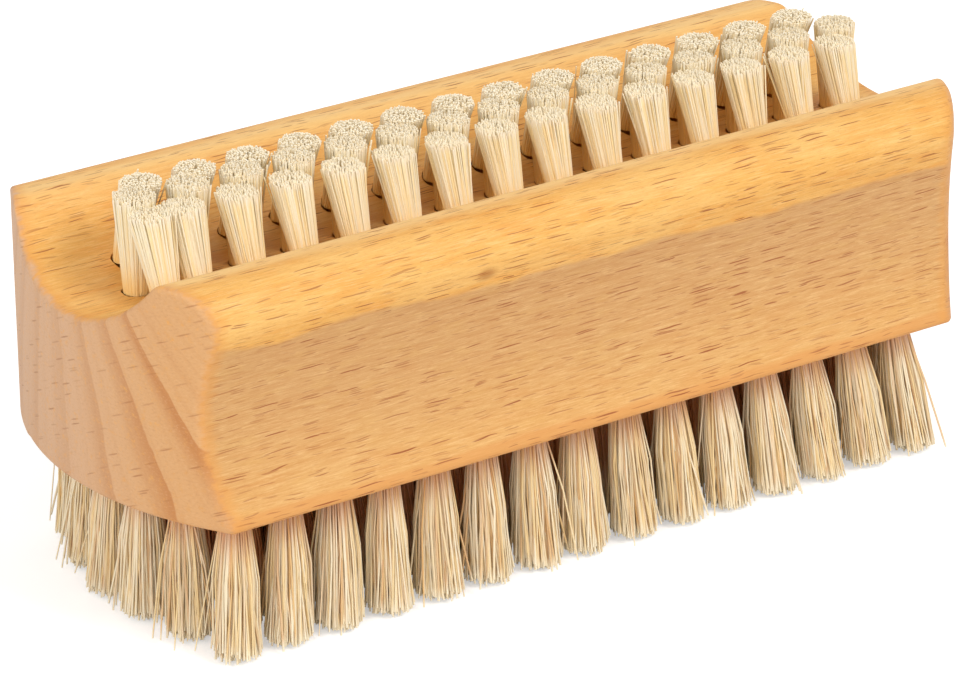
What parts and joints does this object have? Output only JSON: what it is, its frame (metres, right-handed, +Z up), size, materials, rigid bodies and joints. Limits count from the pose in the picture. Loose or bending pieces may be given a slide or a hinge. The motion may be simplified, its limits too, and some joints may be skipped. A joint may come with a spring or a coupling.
{
  "type": "nail brush",
  "caption": "Double-sided nail brush: a moulded wooden block with concave sides, long tufts below and a short band of tufts in a trough on top.",
  "frame": {"origin": "middle of the plane of the lower bristle tips, under the middle of the block", "axes": "+X along the block, -Y towards its front side in the picture, +Z up through the trough"},
  "size_m": [0.095, 0.0388, 0.0407],
  "materials": {
    "wood": "oiled beech, satin",
    "lower_bristle": "beige plant fibre, matt",
    "upper_bristle": "pale cream plant fibre, matt",
    "anchor_wire": "flat drawn wire"
  },
  "bodies": {
    "root": {"block": "wood", "lower_tufts_1": "lower_bristle", "lower_tufts_2": "lower_bristle", "lower_tufts_3": "lower_bristle", "lower_tufts_4": "lower_bristle", "lower_tufts_5": "lower_bristle", "lower_tufts_6": "lower_bristle", "upper_tufts_front": "upper_bristle", "upper_tufts_middle": "upper_bristle", "upper_tufts_back": "upper_bristle", "lower_anchors_1": "anchor_wire", "lower_anchors_2": "anchor_wire", "lower_anchors_3": "anchor_wire", "lower_anchors_4": "anchor_wire", "lower_anchors_5": "anchor_wire", "lower_anchors_6": "anchor_wire", "upper_anchors_front": "anchor_wire", "upper_anchors_middle": "anchor_wire", "upper_anchors_back": "anchor_wire"}
  },
  "joints": []
}
